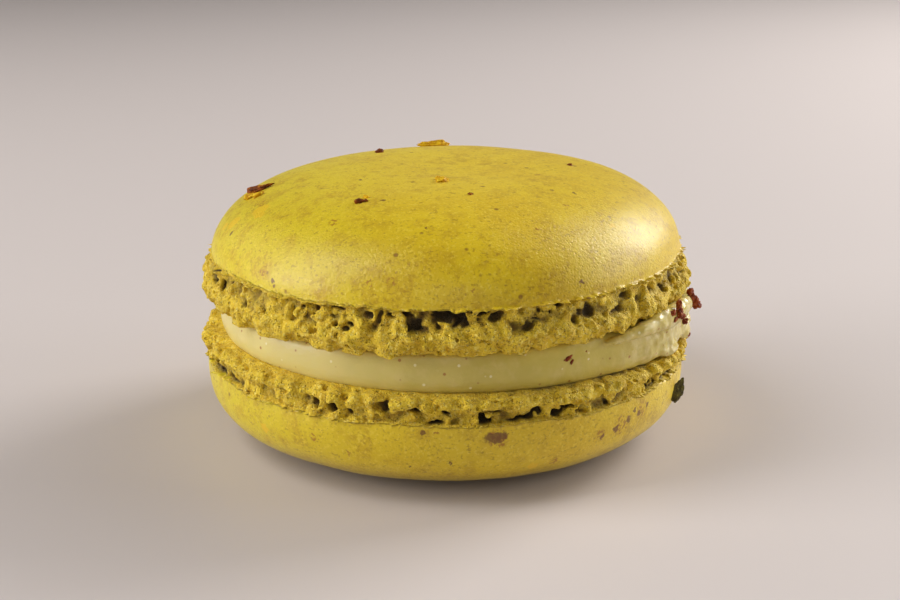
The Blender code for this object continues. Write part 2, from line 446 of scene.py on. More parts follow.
def carve_hollows(field, shell, line, rng):
    """The listed hollows, then more by chance round the rest, then pits as fine as pinpricks."""
    reach = shell["foot"] - 0.1
    for degrees, height, wide, tall, tilt in UPPER_HOLLOWS if shell["up"] > 0.0 else LOWER_HOLLOWS:
        angle = math.radians(degrees) % TAU
        deep = 1.4 if max(wide, tall) > 0.5 else 0.7
        field.blob(angle, reach, height, (0.85 * wide, deep, 0.72 * tall),
                   math.radians(tilt), 0.12, True, line[field.column(angle)] - 0.02)
    for _ in range(int(TAU * shell["foot"] / HOLLOW_EVERY)):
        angle = rng.uniform(*CHANCE_HOLLOWS) % TAU
        wide, tall = rng.uniform(0.35, 1.2), rng.uniform(0.2, 0.6)
        height = line[field.column(angle)] - tall * rng.uniform(0.4, 1.6)
        field.blob(angle, reach, height, (wide, rng.uniform(0.7, 1.5), tall),
                   rng.uniform(-0.4, 0.4), 0.12, True, line[field.column(angle)] - 0.02)
    for _ in range(int(TAU * shell["foot"] * shell["lip"] * PITS_PER_AREA)):
        angle = rng.uniform(0.0, TAU)
        share = rng.uniform(0.03, 0.97)
        size = 0.12 + 0.14 * rng.random() ** 3
        radius = float(foot_radius(shell, angle, share)) + rng.uniform(-0.1, 0.35)
        height = line[field.column(angle)] * (1.0 - share)
        sizes = (size, size * 1.4, size * rng.uniform(0.7, 1.2))
        tilt = rng.uniform(-1.0, 1.0)
        field.blob(angle, radius, height, sizes, tilt, 0.05, True, line[field.column(angle)])


def foot_field(shell):
    """The foot and the dome's rim as a field, in the shell's own frame."""
    rng = np.random.default_rng(shell["seed"])
    field = RingField(STEPS_ROUND, FOOT_INNER, FOOT_OUTER, -3.0 * CELL, shell["lip"] + RIM_BAND, CELL)
    lip = lip_height(shell, field.t)
    line = lip[:, 0, 0]
    down = (lip - field.h) / lip
    field.value = field.r - foot_radius(shell, field.t, down)
    add_lumps(field, shell, line, rng)
    roughen(field, shell, down)
    add_skin(field, shell, lip)
    carve_hollows(field, shell, line, rng)
    field.value = soft_max(field.value, -field.h, 0.25)

    # The grid's top rows follow the plain dome, which the dome's rings go on from.
    above = field.h - shell["lip"] - RIM_BAND + 5.0 * CELL
    plain = field.r - dome_radius(shell, field.h - shell["lip"])
    plain = plain - dome_wave(shell, field.x, field.y, field.h)
    fade = smooth_step(above / (2.0 * CELL))
    field.value = field.value * (1.0 - fade) + plain * fade
    # Its inmost columns are solid above the seat, so that the surface there is open at the ends only.
    field.value[:, :2, :] = np.minimum(field.value[:, :2, :], np.where(field.h > 0.0, -0.3, 0.05))
    return field


def dome_outline(shell, start):
    """Radii and heights above the lip, evenly spaced up the dome, and the skin's normals there."""
    turn = np.linspace(0.0, 0.5 * math.pi, 4000)
    radius = shell["rim"] * np.cos(turn) ** (2.0 / shell["flatness"])
    above = shell["crown"] * np.sin(turn) ** (2.0 / shell["shoulder"])
    length = np.concatenate([[0.0], np.cumsum(np.hypot(np.diff(radius), np.diff(above)))])
    begin = np.interp(start, above, length)
    rows = int((length[-1] - begin) / DOME_ROW)
    stops = begin + (length[-1] - begin) * (np.arange(rows) + 0.6) / rows
    r, h = np.interp(stops, length, radius), np.interp(stops, length, above)
    along_r = np.gradient(r, stops)
    along_h = np.gradient(h, stops)
    size = np.hypot(along_r, along_h)
    return r, h, along_h / size, -along_r / size


def dome_rings(shell, loop, points):
    """The points with rings added that close the dome over a loop of them, and the rings' triangles."""
    faces = []
    start = points[loop][:, 2].mean() - shell["lip"]
    count = STEPS_ROUND // 2
    for r, h, out, up in zip(*dome_outline(shell, start)):
        halve = r * TAU / count < 0.55 * DOME_ROW and count > FEWEST_ROUND
        count = count // 2 if halve else count
        turn = np.arange(count) * TAU / count
        x, y = r * np.cos(turn), r * np.sin(turn)
        wave = dome_wave(shell, x, y, h + shell["lip"])
        reach = r + out * wave
        ring = np.stack([reach * np.cos(turn), reach * np.sin(turn), shell["lip"] + h + up * wave], axis=1)
        first = len(points)
        points = np.concatenate([points, ring])
        new = first + np.arange(count)
        ahead = np.roll(new, -1)
        if not faces:
            faces.append(zipped(loop, new, points))
        elif halve:
            even, odd, after = loop[0::2], loop[1::2], np.roll(loop[0::2], -1)
            corners = ((even, odd, new), (odd, ahead, new), (odd, after, ahead))
            faces += [np.stack(three, axis=1) for three in corners]
        else:
            beside = np.roll(loop, -1)
            faces += [np.stack(three, axis=1) for three in ((loop, beside, new), (beside, ahead, new))]
        loop = new
    top = shell["lip"] + shell["crown"]
    points, fan = capped(points, loop, top + dome_wave(shell, 0.0, 0.0, top)[0], True)
    return points, np.concatenate(faces + [fan])


def capped(points, loop, height, upward):
    """The points with one more, on the axis, and triangles from the loop to it that face up or down."""
    ahead = np.roll(loop, -1)
    middle = np.full(len(loop), len(points))
    points = np.concatenate([points, [[0.0, 0.0, height]]])
    sides = (loop, ahead) if upward else (ahead, loop)
    return points, np.stack([*sides, middle], axis=1)


def from_polar(places):
    """Points (x, y, height) from (angle, radius, height)."""
    angle, radius, height = places.T
    return np.stack([radius * np.cos(angle), radius * np.sin(angle), height], axis=1)


def open_ring(field):
    """The field's largest surface: points, quads, the same as triangles, lower and upper open edge."""
    places, quads = field.surface()
    keep = largest_piece(len(places), quads)
    number = np.cumsum(keep) - 1
    quads = number[quads[keep[quads].all(axis=1)]]
    points = from_polar(places[keep])
    loops = [from_first_angle(loop, points) for loop in open_edges(quads)]
    if len(loops) != 2:
        raise RuntimeError(f"the surface has {len(loops)} open edges, not 2")
    lower, upper = sorted(loops, key=lambda loop: points[loop][:, 2].mean())
    return points, quads, np.concatenate([quads[:, (0, 1, 2)], quads[:, (0, 2, 3)]]), lower, upper


def new_mesh(name, points, triangles):
    """A mesh object, in metres, from points in millimetres."""
    mesh = bpy.data.meshes.new(name)
    mesh.from_pydata((points * MM).tolist(), [], triangles.tolist(), shade_flat=False)
    mesh.validate()
    piece = bpy.data.objects.new(name, mesh)
    bpy.context.scene.collection.objects.link(piece)
    return piece


def mesh_points(piece):
    """The piece's vertices in millimetres."""
    flat = np.empty(3 * len(piece.data.vertices), dtype=np.float32)
    piece.data.vertices.foreach_get("co", flat)
    return flat.reshape(-1, 3).astype(float) / MM


def set_attribute(piece, name, values):
    """A number for each vertex, which the materials read by name."""
    layer = piece.data.attributes.new(name, "FLOAT", "POINT")
    layer.data.foreach_set("value", values.astype(np.float32))


def thinned(piece, most):
    """The piece with its flattest places thinned out to at most this many triangles."""
    share = most / len(piece.data.polygons)
    if share >= 1.0:
        return
    thin = piece.modifiers.new("thin", "DECIMATE")
    thin.ratio = share
    bpy.context.view_layer.update()
    mesh = bpy.data.meshes.new_from_object(piece.evaluated_get(bpy.context.evaluated_depsgraph_get()))
    old = piece.data
    piece.modifiers.clear()
    piece.data = mesh
    bpy.data.meshes.remove(old)


def placed(shell, points):
    """Points of a shell's own frame where the macaron has them, none below its base."""
    world = points.copy()
    world[:, 2] = shell["seat"] + shell["up"] * points[:, 2]
    share = smooth_step((world[:, 2] - (LOWER_SEAT - LOWER["lip"])) / LOWER["lip"])
    world[:, 2] += shell["slope"] * world[:, 0] * share
    world[:, 2] = np.maximum(world[:, 2], BASE_HEIGHT)
    return world


def build_shell(shell):
    """One baked shell: dome, lip and foot in one closed skin."""
    points, quads, side, bottom, top = open_ring(foot_field(shell))
    smooth = relaxed(points, quads, 0.35)
    smooth[top], smooth[bottom] = points[top], points[bottom]
    points, dome = dome_rings(shell, top, smooth)
    points, seat = capped(points, bottom, points[bottom][:, 2].mean(), False)
    triangles = np.concatenate([side, dome, seat])
    if shell["up"] < 0.0:
        triangles = triangles[:, ::-1]
    piece = new_mesh(shell["name"], placed(shell, points), triangles)
    thinned(piece, MOST_TRIANGLES)
    piece.data.shade_smooth()
    return piece


# ---- filling

FILLING_STEPS = 800
FILLING_CELL = 0.16
FILLING_RADIUS = 20.9
FILLING_GRID = (17.6, 24.4, 9.0, 16.4)       # inner and outer radius, lowest and highest height
SET_INTO_UPPER, SET_INTO_LOWER = 0.12, 0.14  # how far it reaches into each shell
BULGE_ANGLE = math.radians(-8.0)             # where it is pressed out beyond the feet
BULGE_HALF_WIDTH = math.radians(52.0)
BULGE_REACH = 0.9
PRESSED_RADIUS = 21.6                        # the pressed-out part lies beyond this

# Ganache smeared on the foot above, on the right: angle, radius, height, and
# half thickness outwards and upwards, at places along the smear.
SMEAR = (
    (-48, 22.0, 13.3, 0.5, 0.3), (-41, 22.6, 13.7, 0.7, 0.6), (-33, 22.9, 13.9, 0.7, 1.0),
    (-25, 22.9, 13.7, 0.7, 1.0), (-18, 22.9, 13.4, 0.7, 0.9), (-10, 22.8, 13.0, 0.7, 0.7),
    (0, 22.7, 12.8, 0.7, 0.6), (22, 22.1, 12.9, 0.7, 0.5),
)
SMEAR_STEP = 2.0         # degrees from one blob of it to the next
SMEAR_HALF_WIDTH = 1.4   # of one blob, round the filling
# Blobs pressed out below: angle, radius, height and half sizes.
LOWER_BLOBS = (
    (-28, 22.7, 10.6, 1.6, 0.8, 0.6), (-12, 22.8, 10.5, 1.8, 0.7, 0.7), (-4, 22.9, 10.6, 1.4, 0.7, 0.6),
)


def add_smear(field):
    """The smear, and the blobs below it."""
    stops, *others = np.array(SMEAR).T
    for degrees in np.arange(stops[0], stops[-1], SMEAR_STEP):
        radius, height, deep, tall = [np.interp(degrees, stops, values) for values in others]
        sizes = (SMEAR_HALF_WIDTH, deep, tall)
        field.blob(math.radians(degrees) % TAU, radius, height, sizes, 0.0, 0.12, False)
    for degrees, radius, height, *sizes in LOWER_BLOBS:
        field.blob(math.radians(degrees) % TAU, radius, height, sizes, 0.0, 0.5, False)


def build_filling():
    """The ganache: smooth and recessed for most of its edge, rough and pressed out on the right."""
    field = RingField(FILLING_STEPS, *FILLING_GRID, FILLING_CELL)
    x, y, h = field.x, field.y, field.h
    top = UPPER_SEAT + SET_INTO_UPPER + UPPER["slope"] * x
    bottom = LOWER_SEAT - SET_INTO_LOWER + LOWER["slope"] * x
    middle, half = 0.5 * (top + bottom), 0.5 * (top - bottom)
    turn = (field.t - BULGE_ANGLE + math.pi) % TAU - math.pi
    side = 1.0 - smooth_step((np.abs(turn) - 0.35 * BULGE_HALF_WIDTH) / (0.65 * BULGE_HALF_WIDTH))
    share = np.clip((h - middle) / half, -1.0, 1.0)
    belly = (0.60 + 0.9 * side) * np.sqrt(np.maximum(1.0 - share ** 2, 0.0)) - 0.25 * side
    slow = 0.22 * noise(x, y, 0.0, 9.0, 41) + 0.05 * noise(x, y, h, 2.5, 42)
    rough = 0.26 * noise(x, y, h, 2.1, 43) + 0.10 * noise(x, y, h, 0.9, 44)
    wall = FILLING_RADIUS + belly + slow + side * (BULGE_REACH + rough)
    flat = np.abs(h - middle) - half + side * 0.25 * noise(x, y, h, 1.6, 45)
    field.value = soft_max(field.r - wall, flat, 0.3)
    add_smear(field)
    field.value += side * 0.06 * noise(x, y, h, 0.6, 46)
    pressed = smooth_step((field.r - PRESSED_RADIUS) / 0.6) * side
    field.value += pressed * (0.20 * np.abs(noise(x, y, h * 0.6, 1.3, 47)) - 0.04)
    field.value += pressed * 0.10 * noise(x, y, h, 0.75, 48)
    # The inmost columns stay flat, so that the surface ends there in two round edges.
    field.value[:, :2, :] = flat[:, :2, :]

    points, quads, side_faces, lower, upper = open_ring(field)
    low, high = points[lower][:, 2].mean(), points[upper][:, 2].mean()
    smooth = relaxed(relaxed(points, quads, 0.5), quads, 0.5)
    smooth, underside = capped(smooth, lower, low, False)
    smooth, upperside = capped(smooth, upper, high, True)
    piece = new_mesh("ganache", smooth, np.concatenate([side_faces, underside, upperside]))
    piece.data.shade_smooth()
    return piece


# ---- materials

def srgb(red, green, blue):
    """Linear colour from 0-255 screen values."""
    parts = [value / 255.0 for value in (red, green, blue)]
    return tuple(v / 12.92 if v <= 0.04045 else ((v + 0.055) / 1.055) ** 2.4 for v in parts) + (1.0,)


class Graph:
    """A material's nodes, with a method for each kind in use.  Sizes are in millimetres."""

    def __init__(self, name):
        self.material = bpy.data.materials.new(name)
        self.material.use_nodes = True
        self.tree = self.material.node_tree
        self.shader = self.tree.nodes["Principled BSDF"]
        self.place = self.tree.nodes.new("ShaderNodeTexCoord").outputs["Object"]

    def link(self, source, socket):
        """Feed a socket from another node's output, or set it to a plain value."""
        if hasattr(source, "is_output"):
            self.tree.links.new(source, socket)
        else:
            socket.default_value = source

    def add(self, kind, sockets, **settings):
        """The outputs of a new node, which has these settings and values for its sockets."""
        node = self.tree.nodes.new(kind)
        for key, value in settings.items():
            setattr(node, key, value)
        for key, value in sockets.items():
            self.link(value, node.inputs[key])
        return node.outputs

    def noise(self, size, detail=4.0, rough=0.55, stretch=(1.0, 1.0, 1.0)):
        """Noise with features of a size."""
        place = self.add("ShaderNodeVectorMath", {0: self.place, 1: stretch}, operation="MULTIPLY")[0]
        sockets = {"Vector": place, "Scale": 1.0 / (size * MM), "Detail": detail, "Roughness": rough}
        return self.add("ShaderNodeTexNoise", sockets)["Fac"]

    def cells(self, size):
        """Distance from the nearest of many scattered points, as a share of size, and its own colour."""
        outputs = self.add("ShaderNodeTexVoronoi", {"Vector": self.place, "Scale": 1.0 / (size * MM)})
        return outputs["Distance"], outputs["Color"]

    def step(self, value, low, high):
        """Ease from 0 at low to 1 at high; low may be the larger."""
        sockets = {"Value": value, "From Min": low, "From Max": high}
        return self.add("ShaderNodeMapRange", sockets, interpolation_type="SMOOTHSTEP")["Result"]

    def patches(self, size, low, high, detail=4.0, **more):
        """Noise turned into patches: 0 where it is under low and 1 where it is over high."""
        return self.step(self.noise(size, detail, **more), low, high)

    def specks(self, size, channel, picked, edge):
        """Round specks in the cells picked by a channel of their colour; edge is in shares of size."""
        near, code = self.cells(size)
        return self.times(self.step(near, *edge), self.step(self.split(code)[channel], *picked))

    def combine(self, operation, first, second):
        """A sum of two values."""
        return self.add("ShaderNodeMath", {0: first, 1: second}, operation=operation)[0]

    def times(self, first, second):
        return self.combine("MULTIPLY", first, second)

    def plus(self, first, second):
        return self.combine("ADD", first, second)

    def mix(self, share, first, second):
        """From the first colour to the second as share goes from 0 to 1."""
        sockets = {"Factor": share, "A": first, "B": second}
        return self.add("ShaderNodeMix", sockets, data_type="RGBA")["Result"]

    def painted(self, colour, *coats):
        """A colour with coats over it: where each lies, how strong it is and its own colour."""
        for where, strength, coat in coats:
            share = where if strength == 1.0 else self.times(where, strength)
            colour = self.mix(share, colour, coat)
        return colour

    def attribute(self, name):
        """The number that a mesh holds at each vertex under a name."""
        return self.add("ShaderNodeAttribute", {}, attribute_name=name)["Fac"]

    def split(self, vector):
        """A vector's or a colour's three parts."""
        return self.add("ShaderNodeSeparateXYZ", {0: vector})

    def bump(self, height, depth, **below):
        """Relief of a depth, on top of the relief given as Normal, if any."""
        return self.add("ShaderNodeBump", {"Height": height, "Distance": depth * MM, **below})["Normal"]

    def set(self, **values):
        """Set sockets of the shader, named with _ for a space."""
        for name, value in values.items():
            self.link(value, self.shader.inputs[name.replace("_", " ")])


# Marks in the skin.  Those on a dome's top have an angle, a radius and a size,
# and those on its side an angle, a height above the table and a size.
MARK_GRAIN = 0.45        # size of the noise that makes their edges ragged
MARK_WANDER = 0.9        # and how far it moves them
TOP_MARKS = (
    (UPPER, dict(
        brown=((-124, 13.4, 0.30), (-78, 10.6, 0.28), (10, 12.0, 0.28), (-116, 12.6, 0.2),
               (-150, 9.0, 0.2), (-95, 17.0, 0.16), (-35, 14.0, 0.2), (60, 10.0, 0.2)),
        orange=((-124, 17.2, 0.55), (-64, 17.8, 0.28), (-161, 17.7, 0.8), (-20, 9.0, 0.35),
                (-47, 15.5, 0.3)),
        yellow=((-157, 18.1, 0.9), (-154, 18.6, 0.6), (-162, 20.3, 0.8), (-166, 20.9, 0.5),
                (-41, 19.2, 0.30), (-97, 4.0, 0.4), (35, 13.0, 0.5)),
    )),
)
SIDE_MARKS = (
    (UPPER, dict(
        brown=((-59, 19.2, 0.25), (-132, 18.6, 0.28), (-131.4, 18.2, 0.22), (-158, 20.6, 0.22)),
        orange=((-136, 19.1, 0.42), (-136, 19.5, 0.30), (-107, 19.8, 0.38), (-102, 19.9, 0.45),
                (-84, 19.3, 0.3)),
    )),
    (LOWER, dict(
        brown=((-80.6, 6.75, 0.50), (-79.2, 6.7, 0.58), (-77.8, 6.8, 0.42), (-98, 3.9, 0.20),
               (-89, 4.4, 0.20), (-95, 7.25, 0.2), (-43, 6.6, 0.22), (-53, 5.1, 0.25),
               (-49, 5.4, 0.32), (-45, 5.8, 0.36), (-41, 6.0, 0.30), (-38, 6.5, 0.25)),
        orange=((-92, 7.2, 0.25), (-120, 5.5, 0.5), (-112, 4.6, 0.35), (-65, 3.5, 0.5),
                (-47, 5.6, 1.1), (-40, 6.3, 0.9), (-54, 5.2, 0.7), (-79, 6.7, 0.95)),
        yellow=((-70, 3.4, 0.5), (-135, 5.0, 0.5)),
    )),
)


def skin_point(shell, degrees, radius=None, height=None):
    """A point on the dome, at a radius or a height above the table, and the outward normal there."""
    angle = math.radians(degrees)
    if height is None:
        level = (1.0 - (radius / shell["rim"]) ** shell["flatness"]) ** (1.0 / shell["shoulder"])
        above = shell["crown"] * level
    else:
        slope = shell["slope"] * shell["rim"] * math.cos(angle) if shell["up"] > 0.0 else 0.0
        above = (height - slope - shell["seat"]) * shell["up"] - shell["lip"]
        radius = float(dome_radius(shell, above))
    out = shell["flatness"] / shell["rim"] * (radius / shell["rim"]) ** (shell["flatness"] - 1.0)
    up = shell["shoulder"] / shell["crown"] * max(above / shell["crown"], 0.0) ** (shell["shoulder"] - 1.0)
    normal = Vector((out * math.cos(angle), out * math.sin(angle), up * shell["up"])).normalized()
    own = np.array([[radius * math.cos(angle), radius * math.sin(angle), shell["lip"] + above]])
    return Vector(placed(shell, own)[0]), normal


def marks_of(graph, kind):
    """Strength of one kind of mark, from the listed places on both domes."""
    sockets = {"Vector": graph.place, "Scale": 1.0 / (MARK_GRAIN * MM), "Detail": 3.0}
    wander = graph.add("ShaderNodeTexNoise", sockets)["Color"]
    sockets = {0: wander, 1: [MARK_WANDER * MM] * 3, 2: graph.place}
    moved = graph.add("ShaderNodeVectorMath", sockets, operation="MULTIPLY_ADD")[0]
    total = 0.0
    for measure, tables in (("radius", TOP_MARKS), ("height", SIDE_MARKS)):
        rows = [(shell, *row) for shell, marks in tables for row in marks.get(kind, ())]
        for shell, degrees, place, size in rows:
            point, _ = skin_point(shell, degrees, **{measure: place})
            sockets = {0: moved, 1: [(part + 0.5 * MARK_WANDER) * MM for part in point]}
            near = graph.add("ShaderNodeVectorMath", sockets, operation="DISTANCE")["Value"]
            mark = graph.step(near, 1.15 * size * MM, 0.75 * size * MM)
            total = graph.combine("MAXIMUM", mark, total)
    return total


def skin_colour(g):
    """The baked skin: olive yellow, greener to the left, with painted shade near the table, finely
    flecked.
    """
    across, _, height = g.split(g.place)
    leftward = g.step(across, 4.0 * MM, -24.0 * MM)
    # Painted shade: the skin is darkened near the table, under the dome's curve.
    painted_shade_near_table = g.step(height, 4.2 * MM, 0.6 * MM)
    streaks = g.patches(0.55, 0.60, 0.68, 3.0, rough=0.6, stretch=(1.0, 1.0, 1.6))
    blotches = g.times(g.patches(3.2, 0.50, 0.62, 2.0), g.patches(0.42, 0.50, 0.60))
    plain = g.mix(g.patches(7.0, 0.35, 0.65, 3.0), srgb(221, 185, 12), srgb(228, 196, 18))
    return g.painted(
        plain,
        (leftward, 0.9, srgb(222, 203, 20)),
        (g.patches(1.6, 0.45, 0.72, 5.0), 0.7, srgb(202, 164, 6)),
        (g.patches(0.30, 0.52, 0.68, 2.0), 0.55, srgb(240, 214, 70)),
        (g.patches(0.24, 0.58, 0.70, 2.0), 0.5, srgb(176, 140, 4)),
        (streaks, 0.55, srgb(164, 122, 0)),
        (blotches, 0.45, srgb(182, 138, 0)),
        # painted shade near the table
        (painted_shade_near_table, 0.75, srgb(146, 122, 6)),
        (g.specks(0.62, 0, (0.66, 0.70), (0.30, 0.08)), 0.4, srgb(158, 118, 2)),
        (g.specks(1.9, 1, (0.66, 0.68), (0.15, 0.06)), 0.75, srgb(126, 74, 4)),
    )


def foot_colour(g):
    """The foot's foam: paler than the skin, with painted shade darkening its hollows."""
    hollow = g.attribute("hollow")
    shade = g.mix(g.patches(0.5, 0.4, 0.6), srgb(140, 106, 8), srgb(112, 92, 10))
    plain = g.mix(g.patches(0.9, 0.38, 0.68), srgb(246, 211, 34), srgb(224, 184, 14))
    return g.painted(
        plain,
        (g.patches(0.28, 0.52, 0.70, 2.0), 1.0, srgb(252, 228, 104)),
        (g.patches(0.24, 0.58, 0.70, 2.0), 0.6, srgb(150, 112, 4)),
        # Painted shade: the deeper a point lies in a hollow, the darker it is painted.
        (g.step(hollow, 0.34, 0.74), 1.0, shade),
        (g.step(hollow, 0.55, 0.98), 1.0, srgb(64, 46, 5)),
    )


def shell_material():
    """Baked pistachio meringue: a satin skin with fine flecks, and a paler, porous foot."""
    g = Graph("baked_shell")
    crumb = g.attribute("crumb")
    colour = g.painted(
        g.mix(crumb, skin_colour(g), foot_colour(g)),
        (marks_of(g, "yellow"), 0.75, srgb(238, 196, 8)),
        (g.times(marks_of(g, "orange"), g.patches(0.30, 0.44, 0.60, 3.0)), 1.0, srgb(178, 124, 8)),
        (marks_of(g, "brown"), 0.85, srgb(112, 66, 8)),
    )
    rough = g.plus(g.times(g.noise(0.8), 0.16), 0.31)

    pits, _ = g.cells(0.34)
    relief = g.plus(g.times(g.step(pits, 0.05, 0.4), 0.35), g.noise(0.22, 3.0, 0.6))
    pores, _ = g.cells(0.30)
    porous = g.plus(g.times(g.step(pores, 0.06, 0.36), 0.9), g.noise(0.16, 3.0, 0.6))
    normal = g.bump(g.times(porous, crumb), 0.22, Normal=g.bump(relief, 0.040))
    g.set(Base_Color=colour, Roughness=g.plus(rough, g.times(crumb, 0.24)), Normal=normal,
          Specular_IOR_Level=0.58, Sheen_Weight=0.12, Sheen_Roughness=0.45, Sheen_Tint=srgb(250, 238, 190))
    return g.material


def ganache_material():
    """Pale pistachio ganache, a little translucent, smooth where cut and rough where torn."""
    g = Graph("ganache")
    torn = g.attribute("torn")
    # Painted light: the ganache is painted paler towards the left, where the light falls on it.
    leftward = g.step(g.split(g.place)[0], 6.0 * MM, -16.0 * MM)
    ragged = g.mix(g.patches(0.9, 0.4, 0.65), srgb(204, 184, 96), srgb(220, 202, 132))
    plain = g.mix(g.patches(3.5, 0.35, 0.65, 3.0), srgb(216, 197, 98), srgb(206, 188, 86))
    colour = g.painted(
        plain,
        # painted light, paler to the left
        (leftward, 1.0, srgb(224, 208, 132)),
        (g.patches(1.1, 0.45, 0.75), 0.5, srgb(224, 204, 128)),
        (torn, 1.0, ragged),
        (g.specks(0.9, 0, (0.66, 0.68), (0.20, 0.10)), 0.8, srgb(168, 104, 44)),
        (g.specks(1.1, 1, (0.50, 0.52), (0.15, 0.08)), 0.85, srgb(246, 236, 190)),
    )
    rough = g.plus(g.times(g.noise(1.1), 0.2), 0.26)
    rough = g.combine("SUBTRACT", rough, g.times(torn, 0.12))
    g.set(Base_Color=colour, Roughness=rough, Normal=g.bump(g.noise(0.5), 0.04), Subsurface_Weight=0.25,
          Subsurface_Radius=(0.9 * MM, 0.7 * MM, 0.3 * MM), Subsurface_Scale=1.0)
    return g.material


# ---- stage

# The floor, in metres: its half width, its front edge, where it starts to bend
# up behind, the bend's radius and rows, and the top of the wall.
FLOOR_SIDE, FLOOR_FRONT, BEND_START, BEND_RADIUS, BEND_ROWS, WALL_TOP = 3.0, -2.0, 0.9, 0.5, 28, 2.5


def make_stage():
    """A pale floor that curves up behind."""
    outline = [(FLOOR_FRONT, 0.0)]
    for turn in np.linspace(0.0, 0.5 * math.pi, BEND_ROWS):
        outline.append((BEND_START + BEND_RADIUS * math.sin(turn), BEND_RADIUS * (1.0 - math.cos(turn))))
    outline.append((BEND_START + BEND_RADIUS, WALL_TOP))
    verts = [(x, y, z) for y, z in outline for x in (-FLOOR_SIDE, FLOOR_SIDE)]
    faces = [(row, row + 1, row + 3, row + 2) for row in range(0, len(verts) - 2, 2)]
    mesh = bpy.data.meshes.new("floor")
    mesh.from_pydata(verts, [], faces)
    mesh.shade_smooth()
    floor = bpy.data.objects.new("floor", mesh)
    bpy.context.scene.collection.objects.link(floor)
    g = Graph("floor_paint")
    g.set(Base_Color=srgb(214, 204, 200), Roughness=0.55)
    floor.data.materials.append(g.material)


def add_light(name, place, power):
    """A square soft light aimed at the macaron; lengths in metres."""
    lamp = bpy.data.lights.new(name, "AREA")
    lamp.shape = "RECTANGLE"
    lamp.size = lamp.size_y = LIGHT_SIDE
    lamp.energy = power
    lamp.color = LIGHT_COLOUR
    light = bpy.data.objects.new(name, lamp)
    light.location = place
    light.rotation_euler = (Vector(LIT_POINT) - Vector(place)).to_track_quat("-Z", "Y").to_euler()
    bpy.context.scene.collection.objects.link(light)


# The camera: how far it looks down, its distance (metres), and how far the point
# it looks at lies off the picture's middle, as shares of the picture's width.
CAMERA_TILT = math.radians(17.3)
CAMERA_DISTANCE = 0.150
LOOK_AT = (0.0, 0.0, 0.011)
LENS, FILM_WIDTH = 61.98, 36.0
SHIFT_RIGHT, SHIFT_UP = 0.00478, 0.01033


def add_camera():
    """The camera, at the height and distance the object is seen from."""
    data = bpy.data.cameras.new("camera")
    data.sensor_width, data.lens = FILM_WIDTH, LENS
    data.shift_x, data.shift_y = SHIFT_RIGHT, SHIFT_UP
    data.clip_start, data.clip_end = 0.01, 20.0
    camera = bpy.data.objects.new("camera", data)
    back = Vector((0.0, -math.cos(CAMERA_TILT), math.sin(CAMERA_TILT))) * CAMERA_DISTANCE
    camera.location = Vector(LOOK_AT) + back
    camera.rotation_euler = (-back).to_track_quat("-Z", "Y").to_euler()
    bpy.context.scene.collection.objects.link(camera)
    bpy.context.scene.camera = camera


# Soft square lights: where each lies, in units of LIGHT_DISTANCE, and its power.
LIGHT_DISTANCE, LIGHT_SIDE = 0.5, 0.25
LIT_POINT = (0.0, 0.0, 0.012)
LIGHT_COLOUR = (1.0, 0.99, 0.975)
SKY_STRENGTH = 0.05
LIGHTS = (
    ("right_back", (0.74, 0.50, 0.48), 1.90), ("right_back_high", (0.55, 0.45, 0.70), 0.30),
    ("right", (0.95, 0.0, 0.30), 0.78), ("left", (-0.93, -0.2, 0.30), 1.35),
    ("left_high", (-0.61, -0.13, 0.77), 0.90), ("left_back", (-0.76, 0.52, 0.39), 0.16),
    ("front", (0.0, -0.90, 0.45), 0.27),
)


def add_lights():
    """A bright soft light behind on the right, a higher one on the left, and an even sky."""
    for name, toward, power in LIGHTS:
        add_light(name, [LIGHT_DISTANCE * share for share in toward], power)
    world = bpy.data.worlds.new("sky")
    world.use_nodes = True
    sky = world.node_tree.nodes["Background"]
    sky.inputs["Color"].default_value = srgb(236, 232, 230)
    sky.inputs["Strength"].default_value = SKY_STRENGTH
    bpy.context.scene.world = world
    bpy.context.scene.view_settings.view_transform = "Standard"


# ---- flakes and crumbs

def unit_ball():
    """Points and triangles of a fine ball."""
    maker = bmesh.new()
    bmesh.ops.create_icosphere(maker, subdivisions=4, radius=1.0)
    maker.verts.index_update()
    points = np.array([vertex.co[:] for vertex in maker.verts])
    triangles = np.array([[vertex.index for vertex in face.verts] for face in maker.faces])
    maker.free()
    return points, triangles


def grain(ball, centre, normal, sizes, turn, taper, seed):
    """Points of one ragged grain: half sizes along its length, across it and through it."""
    along = normal.orthogonal().normalized()
    level = Vector((0.0, 0.0, 1.0)).cross(normal)
    if level.length > 0.05:
        along = level.normalized()
    across = normal.cross(along)
    axes = (along * math.cos(turn) + across * math.sin(turn),
            across * math.cos(turn) - along * math.sin(turn), normal)
    x, y, z = ball[:, 0] + 7.0 * seed, ball[:, 1], ball[:, 2]
    swell = 1.0 + 0.55 * noise(x, y, z, 1.1, seed) + 0.28 * noise(x, y, z, 0.45, seed + 1)
    swell = swell + 0.10 * noise(x, y, z, 0.2, seed + 2)
    local = ball * swell[:, None] * np.array(sizes)
    local[:, 1:] *= 1.0 - taper * ball[:, :1]
    return np.array(centre) + local @ np.array([list(axis) for axis in axes])


def joined_grains(name, grains, triangles, material):
    """Grains that each have the same triangles as one piece."""
    corners = [triangles + number * len(points) for number, points in enumerate(grains)]
    piece = new_mesh(name, np.concatenate(grains), np.concatenate(corners))
    piece.data.shade_smooth()
    piece.data.materials.append(material)
    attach(piece, "root")


def grain_material(name, dark, middle, light, size):
    """Chopped nut or dried fruit: three colours in patches, with a wrinkled surface."""
    g = Graph(name)
    colour = g.mix(g.patches(size, 0.38, 0.60, 3.0), srgb(*dark), srgb(*middle))
    colour = g.mix(g.patches(0.6 * size, 0.55, 0.70), colour, srgb(*light))
    g.set(Base_Color=colour, Roughness=g.plus(g.times(g.noise(0.3), 0.3), 0.45),
          Normal=g.bump(g.noise(0.18), 0.06), Specular_IOR_Level=0.25)
    return g.material


